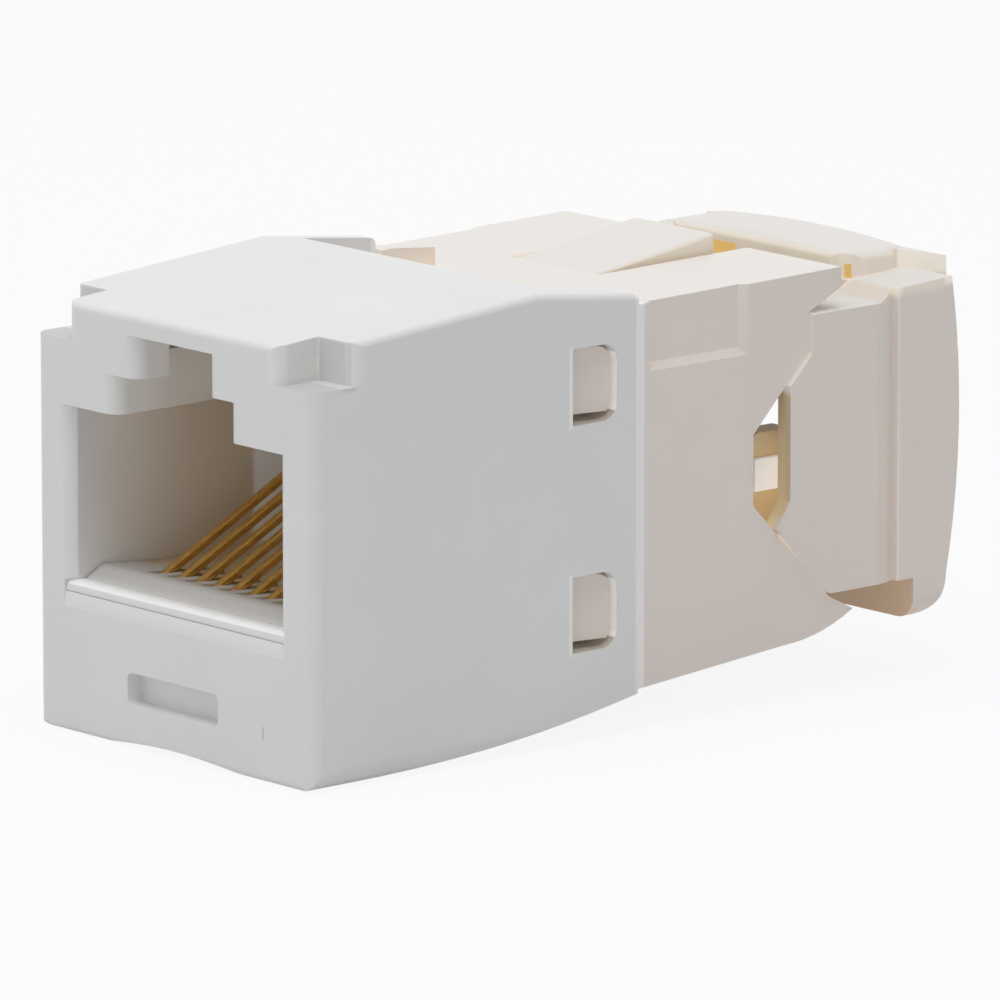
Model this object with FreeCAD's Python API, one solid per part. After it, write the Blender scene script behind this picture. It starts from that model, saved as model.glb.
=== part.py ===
"""Snap-in modular jack: front housing with the plug port, sprung wires, and a rear base with a push-on cap.

Millimetres. X runs across the port, -Y is the plug side and +Z is up. While modelling, y = 0 is the front
face and z = 0 is the lowest edge of that face. The finished solids are moved so that the origin lies in the
middle of the port's mouth, on the front face.
"""
import FreeCAD, Part
import math
import os

V = FreeCAD.Vector

# Clearances
FIT = 0.05            # between moulded pieces that slide together
SEAT = 0.02           # between pieces that rest on each other
CAP_GAP = 0.1         # between the cap and the base
PAST = 1.0            # how far a cutter runs past the face that it opens

# Front housing, outside
BODY_W = 16.0         # width across the sides
FRONT_LEN = 16.05     # front face to the seam
CORNER_R = 0.7        # upright front corners, seen from above
REAR_R = 0.22         # upright rear edges
BOTTOM_R = 0.9        # lower corners, seen from the front
TOP_EDGE_R = 0.3      # edges along the top
FACE_TOP_R = 0.3      # top edge of the front face
FACE_FOOT_R = 0.35    # bottom edge of the front face
ARCH_SAG = 0.3        # hollow of the lower edge between its corners
BELLY_START = 1.5     # level stretch of the underside behind the face
BELLY_SWEEP = 0.3     # share of the climb that is done half way
BELLY_RISE = 1.5      # how far the underside climbs from the face to the seam
CREST_Y = 11.0        # place of the highest line of the top
CREST_RISE = 0.87     # crest above the front of the top
SEAM_FALL = 0.6       # crest down to the seam
TOP_WALL = 0.78       # plastic above the port's key slot
NOTCH_X = 1.95        # corner notches of the front face
NOTCH_Y = 2.0
NOTCH_H = 1.45
NOTCH_R = 0.1
NOTCH_EDGE_R = 0.55   # upright edges beside the notches

# Plug port
PORT_W = 11.86
PORT_H = 6.65
PORT_FLOOR = 5.8
PORT_DEPTH = 12.25
CATCH_W = 6.4         # slot for the plug's catch
CATCH_H = 1.52
CATCH_DEPTH = 7.5
KEY_W = 4.0           # slot for the plug's lever
KEY_H = 1.63
RELIEF_W = 1.2        # side pockets behind the wall over the key slot
RELIEF_LEN = 3.0
RELIEF_H = 0.95
KEY_WALL = 1.6        # front wall that the plug's catch hooks behind
LEAD_W = 0.95         # flare of the port's upright edges, across and into the port
LEAD_D = 0.42
STEP_LEAD = 0.6       # flare of the upright edges of the upper steps
SILL_T = 0.7          # front sill below the port
SILL_DROP = 0.45
SILL_BEVEL = 0.5
NOSE_Y = 0.12         # front of the carrier's nose, which lies on the sill
NOSE_HALF = 6.3
LABEL_W = 5.2         # recess for a label
LABEL_H = 1.22
LABEL_Z = 1.65
LABEL_DEPTH = 0.7
LABEL_R = 0.25

# Front housing, inside
SIDE_WALL = 1.4
CAVITY_LOW = 3.3
CAVITY_ROOF = 0.59    # plastic between the cavity and the recess in the top
CUT_DEPTH = 0.5       # recess in the top, below the base's rails
CUT_RIM = 0.9         # side walls beside that recess
CREST_LAND = 1.45
WINDOW_LEN = 2.22     # snap windows in the sides
WINDOW_H = 2.9
WINDOW_BACK = 1.17    # from a window to the seam
WINDOW_RIM = 0.15     # from a window to the cavity's floor or roof
WINDOW_R = 0.7
WINDOW_LEAD = 0.4     # cavity in front of the windows

# Contact carrier and wires
CARRIER_T = 1.5       # thickness of the port's floor
CARRIER_EDGE_R = 0.35
RIDGE_Y = 1.5         # ridge of the floor behind the nose
RIDGE_RISE = 0.45
INNER_Y = 4.5         # start of the level floor behind the ridge
INNER_RISE = 0.2
WIRE_COUNT = 8
WIRE_PITCH = 1.016
WIRE_W = 0.34
WIRE_T = 0.32
WIRE_GAP = 0.09       # room beside a wire in its slot
BEND_R = 0.8
BEND_Y = 3.0
TINE_DEG = 27.0
TINE_TRAVEL_DEG = 8.0
TINE_BITE = 0.9       # length of a tine inside the comb
COMB_ROOM = 0.35      # room above and below the tines' ends
COMB_DEPTH = 1.7
FLOOR_SLOT_LEN = 1.9  # floor slot behind the bend

# Circuit board
BOARD_T = 1.6
BOARD_SINK = 0.5      # how far the board reaches in front of the seam
HOLE_GAP = 0.05       # around a wire or tail in the board

# Rear base
BASE_LEN = 10.3       # seam to the rear end of the rails
BASE_INSET = 0.2      # sides set in from the front housing
BASE_WALL = 1.3
BASE_FLOOR_T = 1.25
BASE_STEP = 0.08      # underside above the front housing's at the seam
BASE_CLIMB = 0.6      # climb of the underside up to the sweep at its rear end
BASE_SWEEP = 2.85     # from the start of that sweep to the rails' rear end
BASE_SWEEP_Y = 0.95   # point on the sweep, ahead of the rails' rear end
BASE_SWEEP_Z = 0.87   # and above the front of the underside
BASE_TAIL = 0.7       # tip of the foot behind the rails' rear end
BASE_TAIL_FALL = 0.63
RAIL_DROP = 0.45      # rails below the front housing's top at the seam
RAIL_CLIMB = 0.16     # climb of the rails to the rear
RAIL_T = 1.35
FRONT_PLATE_T = 1.2
SKIRT_T = 1.0
SNAP_SINK = 0.25      # snap tabs below the housing's sides
SNAP_RAMP = 0.45
SNAP_GAP = 0.12
SNAP_FOOT_GAP = 0.3
GRIP_LEN = 4.6        # shallow side recess
GRIP_H = 2.3
GRIP_DEPTH = 0.25
GRIP_BEVEL = 0.3
GRIP_START = 0.6
POCKET_TIP = 0.47     # three-cornered pocket in the deck: place of its tip across the top
POCKET_IN = 5.9       # its rear corner
POCKET_BACK = 1.95
POCKET_LEFT = 6.8     # its left corner
POCKET_SIDE = 0.7
POCKET_DEPTH = 1.0
LATCH_W = 4.5
LATCH_SIDE_GAP = 0.28
LATCH_T = 0.85
LATCH_ROOT = 2.78     # seam to the latch's root
LATCH_LEN = 6.12
LATCH_RISE = 0.88
LATCH_TIP_R = 0.15
TOP_PLATE_GAP = 0.06

# Side notch of the base, where the cap's arms go in
NOTCH_REACH = 4.45    # depth from the rails' rear end
NOTCH_FLAT = 2.72     # upright bottom of the notch
NOTCH_BROW_Y = 1.7
NOTCH_BROW_Z = 4.15   # top of the slope above the port's axis
NOTCH_TOP_Z = 5.68
NOTCH_MOUTH_Z = 6.45
NOTCH_FOOT_Y = 0.55
NOTCH_FOOT_Z = 5.38

# Terminals
ROW_COUNT = 4
CHANNEL_H = 4.7       # open channel between the rows
TOWER_LEN = 7.0
TOWER_ROOF_GAP = 0.85
TOWER_SIDE_GAP = 0.4
WIRE_SLOT_W = 0.9
WIRE_SLOT_LEN = 3.4
POST_T = 1.05         # posts on the lower row, beside the cable
POST_LEN = 2.2
POST_UP = 0.95
POST_R = 0.65
KNOB_T = 0.4          # blocks on the posts
KNOB_HIGH = 0.03
KNOB_LOW = 1.2
IDC_W = 1.7
IDC_T = 0.4
IDC_LEN = 6.2
IDC_FORK_LEN = 2.8
IDC_FORK_W = 0.32
IDC_FORK_MOUTH = 0.8
IDC_TAIL_W = 0.6

# Termination cap
CAP_TAIL = 5.55       # rails' rear end to the flange's rear face
ARM_T = 0.72
ARM_UP = 5.62         # arms above and below the port's axis
ARM_DOWN = 5.22
ARM_FRONT = 2.73      # front edge ahead of the rails' rear end
ARM_CHIN_Z = 1.02
ARM_SLOPE_GAP = 0.08  # between the arms and the notch's slopes
ARM_GROOVE_LEN = 0.9
ARM_GROOVE = 0.3
FLANGE_T = 2.78
FLANGE_RISE = 0.455   # flange above the arms
FLANGE_CLIMB = 0.15   # climb of its top to the rear
FLANGE_FOOT = 1.64    # flange below the arms
FLANGE_FOOT_T = 1.9
FLANGE_R = 1.6        # lower rear edge
FLANGE_SIDE_R = 0.9   # lower corners, seen from behind
HEEL_IN = 0.2         # lower end of the rear face ahead of its upper end
BACK_BOW = 0.42       # bulge of the rear face
LIP_LEN = 1.3         # flared lip behind the thumb bar
LIP_FLARE = 1.0
LIP_T = 1.4
LIP_FALL = 0.35
BAR_HALF = 5.3        # thumb bar on the top
BAR_FRONT = 0.1       # bar in front of the flange
BAR_RISE = 1.35
BAR_CROWN = 0.12
BAR_R = 1.1
BAR_EDGE_R = 0.4
DECK_T = 1.1          # top and bottom decks between the arms
COMB_H = 1.7          # upper and lower wire combs inside the cap
CRADLE_H = 2.45
CRADLE_START = 0.9    # front of the lower comb ahead of the rails' rear end
COMB_SIDE_GAP = 0.9
COMB_SLOT_W = 1.0
CABLE_R = 3.5


# Share of a corner's radius that its round leaves at the middle
ROUND = 1 - math.sqrt(0.5)

# Heights and stations worked out from the sizes above
half_w = BODY_W / 2
axis_z = PORT_FLOOR + PORT_H / 2
ledge_z = PORT_FLOOR + PORT_H
catch_z = ledge_z + CATCH_H
key_z = catch_z + KEY_H
front_top = key_z + TOP_WALL
crest_z = front_top + CREST_RISE
seam_z = crest_z - SEAM_FALL
rail_z = seam_z - RAIL_DROP
cut_z = rail_z - CUT_DEPTH
cavity_z = cut_z - CAVITY_ROOF
cavity_half = half_w - SIDE_WALL
cut_half = half_w - CUT_RIM
window_y = FRONT_LEN - WINDOW_BACK - WINDOW_LEN
cavity_y = window_y - WINDOW_LEAD
window_z = (CAVITY_LOW + WINDOW_RIM, cavity_z - WINDOW_RIM - WINDOW_H)
skirt_out = cavity_half - FIT
skirt_in = skirt_out - SKIRT_T
insert_half = skirt_in - FIT
carrier_z = PORT_FLOOR - CARRIER_T
board_y = FRONT_LEN - BOARD_SINK
plate_y = board_y + BOARD_T + SEAT
plate_back = plate_y + FRONT_PLATE_T
base_y = FRONT_LEN + FIT
base_end = FRONT_LEN + BASE_LEN
base_half = half_w - BASE_INSET
base_in = base_half - BASE_WALL
base_foot = BELLY_RISE + BASE_STEP
base_floor = base_foot + BASE_CLIMB + BASE_FLOOR_T
ceiling_z = rail_z - RAIL_T
latch_y = FRONT_LEN + LATCH_ROOT
latch_z = rail_z - LATCH_T
bend_z = carrier_z + BEND_R + WIRE_T / 2 + FIT
leg_z = bend_z - BEND_R
tower_half = base_in - TOWER_SIDE_GAP
tower_low = CHANNEL_H / 2
tower_high = ceiling_z - TOWER_ROOF_GAP - axis_z
tower_mid = (tower_low + tower_high) / 2
idc_y = plate_back
arm_top = axis_z + ARM_UP
arm_foot = axis_z - ARM_DOWN
cap_end = base_end + CAP_TAIL
flange_y = cap_end - FLANGE_T
band_y = flange_y - ARM_GROOVE_LEN


def point(axis, a, b, level):
    """A point in the plane across an axis: (y, z) for x, (x, z) for y and (x, y) for z."""
    if axis == "x":
        return V(level, a, b)
    if axis == "y":
        return V(a, level, b)
    return V(a, b, level)


def outline(axis, corners, level):
    """Closed wire. A corner is (a, b) or (a, b, radius); ("via", a, b) bows the side that it stands in."""
    spots = [c for c in corners if c[0] != "via"]
    bows = {}
    seen = 0
    for c in corners:
        if c[0] == "via":
            bows[seen - 1] = point(axis, c[1], c[2], level)
        else:
            seen += 1
    ends = []
    for i, c in enumerate(spots):
        here = point(axis, c[0], c[1], level)
        if len(c) < 3:
            ends.append((here, None, here))
            continue
        before = point(axis, *spots[i - 1][:2], level) - here
        after = point(axis, *spots[(i + 1) % len(spots)][:2], level) - here
        before.normalize()
        after.normalize()
        half = before.getAngle(after) / 2
        middle = before + after
        middle.normalize()
        reach = c[2] / math.tan(half)
        crown = c[2] / math.sin(half) - c[2]
        ends.append((here + before * reach, here + middle * crown, here + after * reach))
    edges = []
    for i, (start, crown, leave) in enumerate(ends):
        if crown is not None:
            edges.append(Part.Arc(start, crown, leave).toShape())
        arrive = ends[(i + 1) % len(ends)][0]
        if i in bows:
            edges.append(Part.Arc(leave, bows[i], arrive).toShape())
        elif leave.distanceToPoint(arrive) > 1e-6:
            edges.append(Part.LineSegment(leave, arrive).toShape())
    return Part.Wire(edges)


def prism(axis, corners, low, high):
    """Solid with the given outline, from one level to another along an axis."""
    face = Part.Face(outline(axis, corners, low))
    return face.extrude(point(axis, 0, 0, high - low))


def box(x, y, z):
    """Block between pairs of limits."""
    return Part.makeBox(x[1] - x[0], y[1] - y[0], z[1] - z[0], V(x[0], y[0], z[0]))


def both_sides(shape):
    """A shape on +X with its mirror image on -X."""
    return shape.fuse(shape.mirror(V(0, 0, 0), V(1, 0, 0)))


def wire_places():
    """X places of the contact wires, from left to right."""
    return [(i - (WIRE_COUNT - 1) / 2) * WIRE_PITCH for i in range(WIRE_COUNT)]


def terminal_places():
    """X and Z places of the terminals: the upper row, then the lower one."""
    pitch = 2 * tower_half / ROW_COUNT
    across = [(i - (ROW_COUNT - 1) / 2) * pitch for i in range(ROW_COUNT)]
    return [(x, axis_z + side * tower_mid) for side in (1, -1) for x in across]


def on_slope(y0, z0, y1, z1, z):
    """Y of a straight line through two points, at a height."""
    return y0 + (y1 - y0) * (z - z0) / (z1 - z0)


def front_block():
    """Outside of the front housing: side, front and top outlines meet in one body."""
    belly_mid = (BELLY_START + FRONT_LEN) / 2
    side = prism("x", [
        (0, 0, FACE_FOOT_R),
        (BELLY_START, 0),
        ("via", belly_mid, BELLY_SWEEP * BELLY_RISE),
        (FRONT_LEN, BELLY_RISE),
        (FRONT_LEN, seam_z),
        (CREST_Y, crest_z),
        (0, front_top, FACE_TOP_R),
    ], -half_w, half_w)
    front = prism("y", [
        (-half_w, 0, BOTTOM_R),
        (-half_w / 2, 0),
        ("via", 0, ARCH_SAG),
        (half_w / 2, 0),
        (half_w, 0, BOTTOM_R),
        (half_w, crest_z + PAST),
        (-half_w, crest_z + PAST),
    ], 0, FRONT_LEN)
    top = prism("z", [
        (-half_w, 0, CORNER_R),
        (half_w, 0, CORNER_R),
        (half_w, FRONT_LEN, REAR_R),
        (-half_w, FRONT_LEN, REAR_R),
    ], 0, crest_z + PAST)
    body = side.common(front).common(top)
    rims = [e for e in body.Edges if along_top(e)]
    return body.makeFillet(TOP_EDGE_R, rims)


def along_top(edge):
    """True for the edges where the top meets the sides."""
    at_side = abs(abs(edge.CenterOfMass.x) - half_w) < SEAT
    return at_side and edge.BoundBox.ZMin > key_z and edge.BoundBox.YLength > CORNER_R


def port_cutter():
    """Stepped mouth of the port, the pocket behind its front wall and the way in for the carrier."""
    half = PORT_W / 2
    mouth = prism("y", [
        (-half, carrier_z),
        (half, carrier_z),
        (half, ledge_z),
        (-half, ledge_z),
    ], SILL_T, FRONT_LEN + PAST)
    sill = PORT_FLOOR - SILL_DROP
    entry = prism("y", [(-half, sill), (half, sill), (half, ledge_z), (-half, ledge_z)], -PAST, SILL_T)
    bevel = prism("x", [
        (0, sill - SILL_BEVEL),
        (NOSE_Y, sill),
        (-PAST, sill),
        (-PAST, sill - SILL_BEVEL),
    ], -NOSE_HALF, NOSE_HALF)
    nose_half = NOSE_HALF + SEAT
    nose_slot = box((-nose_half, nose_half), (-PAST, SILL_T), (sill, PORT_FLOOR + SEAT))
    catch = box((-CATCH_W / 2, CATCH_W / 2), (-PAST, CATCH_DEPTH), (ledge_z - PAST, catch_z))
    key = box((-KEY_W / 2, KEY_W / 2), (-PAST, CATCH_DEPTH), (catch_z - PAST, key_z))
    pocket = box((-CATCH_W / 2, CATCH_W / 2), (KEY_WALL, CATCH_DEPTH), (catch_z - PAST, key_z))
    lead = both_sides(lead_in(half, sill, ledge_z, LEAD_W, LEAD_D))
    lead = lead.fuse(both_sides(lead_in(CATCH_W / 2, ledge_z, catch_z, STEP_LEAD, STEP_LEAD)))
    lead = lead.fuse(both_sides(lead_in(KEY_W / 2, catch_z, key_z, STEP_LEAD, STEP_LEAD)))
    across = (CATCH_W / 2 - SEAT, CATCH_W / 2 + RELIEF_W)
    along = (KEY_WALL, KEY_WALL + RELIEF_LEN)
    relief = both_sides(box(across, along, (key_z - RELIEF_H, key_z)))
    return mouth.multiFuse([entry, bevel, nose_slot, catch, key, pocket, relief, lead])


def lead_in(half, low, high, wide, deep):
    """Rounds off an upright edge of the port at the front face."""
    return prism("z", [
        (half, deep),
        ("via", half + wide * ROUND, deep * ROUND),
        (half + wide, 0),
        (half + wide, -PAST),
        (half, -PAST),
    ], low, high)


def front_housing():
    """White front piece with the port, the snap windows and the recess for the latch in its top."""
    body = front_block().cut(port_cutter())
    cavity = box((-cavity_half, cavity_half), (cavity_y, FRONT_LEN + PAST), (CAVITY_LOW, cavity_z))
    recess = box((-cut_half, cut_half), (CREST_Y + CREST_LAND, FRONT_LEN + PAST), (cut_z, crest_z + PAST))
    label = prism("y", [
        (-LABEL_W / 2, LABEL_Z, LABEL_R),
        (LABEL_W / 2, LABEL_Z, LABEL_R),
        (LABEL_W / 2, LABEL_Z + LABEL_H, LABEL_R),
        (-LABEL_W / 2, LABEL_Z + LABEL_H, LABEL_R),
    ], -PAST, LABEL_DEPTH)
    cutters = [cavity, recess, both_sides(corner_notch()), label]
    for low in window_z:
        cutters.append(both_sides(window(low, 0, cavity_half - PAST, half_w + PAST)))
    return body.cut(cutters)


def corner_notch():
    """Notch in an upper front corner, with its upright outer edges rounded off."""
    inner = half_w - NOTCH_X
    trim = NOTCH_EDGE_R * ROUND
    return prism("z", [
        (inner - NOTCH_EDGE_R, -PAST),
        (half_w + PAST, -PAST),
        (half_w + PAST, NOTCH_Y + NOTCH_EDGE_R),
        (half_w, NOTCH_Y + NOTCH_EDGE_R),
        ("via", half_w - trim, NOTCH_Y + trim),
        (half_w - NOTCH_EDGE_R, NOTCH_Y),
        (inner, NOTCH_Y, NOTCH_R),
        (inner, NOTCH_EDGE_R),
        ("via", inner - trim, trim),
        (inner - NOTCH_EDGE_R, 0),
    ], front_top - NOTCH_H, crest_z + PAST)


def window(low, shrink, x_in, x_out):
    """Snap window with a rounded rear end; shrink sets its outline in."""
    start = window_y + shrink
    stop = window_y + WINDOW_LEN - shrink
    return prism("x", [
        (start, low + shrink),
        (stop, low + shrink, WINDOW_R - shrink),
        (stop, low + WINDOW_H - shrink, WINDOW_R - shrink),
        (start, low + WINDOW_H - shrink),
    ], x_in, x_out)


def contact_carrier():
    """Insert that forms the port's floor and guides the wires in slots and in a comb at the back."""
    half = PORT_W / 2 - FIT
    front = SILL_T + FIT
    back = board_y - SEAT
    low = carrier_z + SEAT
    inner_floor = PORT_FLOOR + INNER_RISE
    floor = prism("x", [
        (front, low),
        (cavity_y - FIT, low),
        (cavity_y - FIT, inner_floor),
        (INNER_Y, inner_floor),
        (RIDGE_Y, PORT_FLOOR + RIDGE_RISE, RIDGE_Y / 2),
        (front, PORT_FLOOR),
    ], -half, half)
    sill = PORT_FLOOR - SILL_DROP + SEAT
    nose = prism("x", [
        (NOSE_Y, sill),
        (SILL_T - SEAT, sill),
        (SILL_T - SEAT, PORT_FLOOR),
        (NOSE_Y, PORT_FLOOR, CARRIER_EDGE_R),
    ], -NOSE_HALF, NOSE_HALF)
    neck = box((-half, half), (SILL_T - 2 * SEAT, front + SEAT), (sill, PORT_FLOOR))
    rear_floor = box((-insert_half, insert_half), (cavity_y - FIT - SEAT, back), (low, inner_floor))
    wall = box((-insert_half, insert_half), (PORT_DEPTH, back), (low, ledge_z - CAP_GAP))
    slots = []
    width = WIRE_W / 2 + WIRE_GAP
    leg_roof = leg_z + WIRE_T / 2 + WIRE_GAP
    slot_front = BEND_Y - BEND_R - WIRE_T / 2 - WIRE_GAP
    comb_low, comb_high = comb_limits()
    for x in wire_places():
        across = (x - width, x + width)
        slots.append(box(across, (slot_front, BEND_Y + FLOOR_SLOT_LEN), (low - PAST, PORT_FLOOR + PAST)))
        slots.append(box(across, (BEND_Y, back + PAST), (low - PAST, leg_roof)))
        slots.append(box(across, (PORT_DEPTH - PAST, PORT_DEPTH + COMB_DEPTH), (comb_low, comb_high)))
    return floor.multiFuse([nose, neck, rear_floor, wall]).removeSplitter().cut(slots)


def tine_end(turn_deg):
    """Height of a tine's axis where it enters the comb and at its end, with the tine turned down."""
    slope = math.radians(TINE_DEG - turn_deg)
    start_y = BEND_Y - BEND_R * math.sin(slope)
    start_z = bend_z + BEND_R * math.cos(slope)
    rise = math.tan(slope)
    return [start_z + (y - start_y) * rise for y in (PORT_DEPTH, PORT_DEPTH + TINE_BITE)]


def comb_limits():
    """Lowest and highest points that the wires need in the comb."""
    room = WIRE_T / 2 / math.cos(math.radians(TINE_DEG)) + COMB_ROOM
    return min(tine_end(TINE_TRAVEL_DEG)) - room, max(tine_end(0)) + room


def round_bend(radius, deg):
    """Y and Z of a point on a wire's bend, which starts at the leg and turns over the front to the tine."""
    turn = math.radians(deg)
    return BEND_Y - radius * math.sin(turn), bend_z - radius * math.cos(turn)


def contact_spring(x):
    """Sprung part of a wire: a round bend below the floor and a straight tine that rises to the comb."""
    turn = 180 - TINE_DEG
    outer = BEND_R + WIRE_T / 2
    inner = BEND_R - WIRE_T / 2
    slope = math.tan(math.radians(TINE_DEG))
    end = PORT_DEPTH + TINE_BITE
    outer_y, outer_z = round_bend(outer, turn)
    inner_y, inner_z = round_bend(inner, turn)
    return prism("x", [
        round_bend(outer, 0),
        ("via", *round_bend(outer, turn / 2)),
        (outer_y, outer_z),
        (end, outer_z + (end - outer_y) * slope),
        (end, inner_z + (end - inner_y) * slope),
        (inner_y, inner_z),
        ("via", *round_bend(inner, turn / 2)),
        round_bend(inner, 0),
    ], x - WIRE_W / 2, x + WIRE_W / 2)


def leg_bar(x, room, start, stop):
    """Straight run of a wire under the floor, with room around it."""
    half_x = WIRE_W / 2 + room
    half_z = WIRE_T / 2 + room
    return box((x - half_x, x + half_x), (start, stop), (leg_z - half_z, leg_z + half_z))


def contact_leg(x):
    """Fixed part of a wire, from the bend under the floor and through the board."""
    return leg_bar(x, 0, BEND_Y + SEAT, board_y + BOARD_T)


def circuit_board():
    """Board between the wires and the terminals."""
    board = box((-insert_half, insert_half), (board_y, board_y + BOARD_T), (CAVITY_LOW + FIT, cavity_z - FIT))
    holes = []
    for x in wire_places():
        holes.append(leg_bar(x, HOLE_GAP, board_y - PAST, plate_y + PAST))
    for x, z in terminal_places():
        holes.append(tail(x, z, HOLE_GAP, board_y - PAST, plate_y + PAST))
    return board.cut(holes)


def tail(x, z, room, start, stop):
    """Square tail of a terminal, with room around it."""
    half_x = IDC_TAIL_W / 2 + room
    half_z = IDC_T / 2 + room
    return box((x - half_x, x + half_x), (start, stop), (z - half_z, z + half_z))


def idc(x, z):
    """Forked terminal that cuts into a wire's insulation."""
    end = idc_y + IDC_LEN
    root = end - IDC_FORK_LEN
    narrow = IDC_FORK_W / 2
    wide = IDC_FORK_MOUTH / 2
    half = IDC_W / 2
    lead = wide - narrow
    blade = prism("z", [
        (x - half, idc_y + SEAT),
        (x + half, idc_y + SEAT),
        (x + half, end - lead),
        (x + half - lead, end),
        (x + wide, end),
        (x + narrow, end - 2 * lead),
        (x + narrow, root),
        ("via", x, root - narrow),
        (x - narrow, root),
        (x - narrow, end - 2 * lead),
        (x - wide, end),
        (x - half + lead, end),
        (x - half, end - lead),
    ], z - IDC_T / 2, z + IDC_T / 2)
    return blade.fuse(tail(x, z, 0, board_y, idc_y + PAST)).removeSplitter()


def base_shell():
    """Outside of the base with its hollow, open to the rear and towards the board."""
    outer = prism("x", [
        (base_y, base_foot),
        (base_end - BASE_SWEEP, base_foot + BASE_CLIMB),
        ("via", base_end - BASE_SWEEP_Y, base_foot + BASE_SWEEP_Z),
        (base_end + BASE_TAIL, axis_z - NOTCH_FOOT_Z - BASE_TAIL_FALL),
        (base_end - NOTCH_FOOT_Y, axis_z - NOTCH_FOOT_Z),
        (base_end, axis_z + NOTCH_MOUTH_Z),
        (base_end, rail_z + RAIL_CLIMB),
        (base_y, rail_z),
    ], -base_half, base_half)
    hollow = box((-base_in, base_in), (plate_back, base_end + PAST), (base_floor, ceiling_z))
    front = box((-insert_half - FIT, insert_half + FIT), (base_y - PAST, plate_y), (CAVITY_LOW, cavity_z))
    slot_half = LATCH_W / 2 + LATCH_SIDE_GAP
    slot = box((-slot_half, slot_half), (latch_y, base_end + PAST), (ceiling_z - PAST, rail_z + PAST))
    return outer.cut([hollow, front, slot, both_sides(grip()), side_notch()])


def grip():
    """Shallow recess in the side of a rail, bevelled along its foot and its rear end."""
    start = base_y + GRIP_START
    high = rail_z + RAIL_CLIMB + PAST
    ends = []
    for depth, spread in ((GRIP_DEPTH, 0), (-GRIP_DEPTH, 2 * GRIP_BEVEL)):
        ends.append(outline("x", [
            (start, rail_z - GRIP_H - spread),
            (start + GRIP_LEN + spread, rail_z - GRIP_H - spread),
            (start + GRIP_LEN + spread, high),
            (start, high),
        ], base_half - depth))
    return Part.makeLoft(ends, True, True)


def side_notch():
    """Opening of the side walls that the cap's arms slide into."""
    far = base_end + BASE_TAIL + PAST
    deep = base_end - NOTCH_REACH
    return prism("x", [
        (far, axis_z + NOTCH_MOUTH_Z),
        (base_end, axis_z + NOTCH_MOUTH_Z),
        (base_end - NOTCH_BROW_Y, axis_z + NOTCH_TOP_Z),
        (base_end - NOTCH_BROW_Y, axis_z + NOTCH_BROW_Z),
        (deep, axis_z + NOTCH_FLAT / 2),
        (deep, axis_z - NOTCH_FLAT / 2),
        (base_end - NOTCH_FOOT_Y, axis_z - NOTCH_FOOT_Z),
        (far, axis_z - NOTCH_FOOT_Z),
    ], -half_w, half_w)


def snap_skirt():
    """Side leg inside the front housing, with a wedge for each snap window."""
    leg = box(
        (skirt_in, skirt_out),
        (cavity_y + FIT, plate_y + PAST / 2),
        (CAVITY_LOW + FIT, cavity_z - FIT),
    )
    wedges = []
    for low in window_z:
        block = window(low, SNAP_GAP, skirt_out - FIT, half_w - SNAP_SINK)
        ramp = prism("z", [
            (half_w - SNAP_SINK - SNAP_RAMP, window_y),
            (half_w, window_y),
            (half_w, window_y + WINDOW_LEN),
            (half_w - SNAP_SINK, window_y + WINDOW_LEN),
        ], low, low + WINDOW_H)
        foot = box((0, half_w), (window_y, window_y + WINDOW_LEN), (low, low + SNAP_FOOT_GAP))
        wedges.append(block.cut([ramp, foot]))
    return leg.multiFuse(wedges)


def tower_rows():
    """Upper and lower blocks that hold the terminals, with slots for the wires."""
    rows = []
    for side in (1, -1):
        limits = sorted((axis_z + side * tower_low, axis_z + side * tower_high))
        rows.append(box((-tower_half, tower_half), (plate_back - SEAT, plate_back + TOWER_LEN), limits))
    cuts = []
    stop = plate_back + TOWER_LEN
    half_x = IDC_W / 2 + FIT
    half_z = IDC_T / 2 + FIT
    slot = WIRE_SLOT_W / 2
    reach = (tower_high - tower_low) / 2 + PAST / 2
    for x, z in terminal_places():
        cuts.append(box((x - half_x, x + half_x), (idc_y, stop + PAST), (z - half_z, z + half_z)))
        cuts.append(box((x - slot, x + slot), (stop - WIRE_SLOT_LEN, stop + PAST), (z - reach, z + reach)))
    across = (tower_half - POST_T, tower_half)
    along = (stop - POST_LEN, stop)
    post = prism("x", [
        (along[0], axis_z - tower_low - SEAT),
        (along[1], axis_z - tower_low - SEAT),
        (along[1], axis_z + POST_UP),
        (along[0], axis_z + POST_UP, POST_R),
    ], *across)
    knob = box((tower_half - SEAT, tower_half + KNOB_T), along, (axis_z - KNOB_LOW, axis_z + KNOB_HIGH))
    return rows[0].fuse(rows[1]).cut(cuts).fuse(both_sides(post.fuse(knob)))


def top_plate():
    """Front of the latch's deck, which fills the recess behind the front housing's crest."""
    front = CREST_Y + CREST_LAND + TOP_PLATE_GAP
    half = cut_half - TOP_PLATE_GAP
    fall = (crest_z - seam_z) / (FRONT_LEN - CREST_Y)
    return prism("x", [
        (front, cut_z + TOP_PLATE_GAP),
        (base_y + PAST, cut_z + TOP_PLATE_GAP),
        (base_y + PAST, rail_z),
        (base_y, rail_z),
        (front, crest_z - (front - CREST_Y) * fall - TOP_PLATE_GAP),
    ], -half, half)


def pocket():
    """Three-cornered pocket in the left of the deck and the rail behind it."""
    return prism("z", [
        (POCKET_TIP, CREST_Y + CREST_LAND),
        (-POCKET_IN, FRONT_LEN + POCKET_BACK),
        (-POCKET_LEFT, FRONT_LEN + POCKET_SIDE),
        (-POCKET_LEFT, FRONT_LEN),
        (-half_w, FRONT_LEN),
        (-half_w, CREST_Y + CREST_LAND),
    ], rail_z - POCKET_DEPTH, crest_z + PAST)


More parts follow.
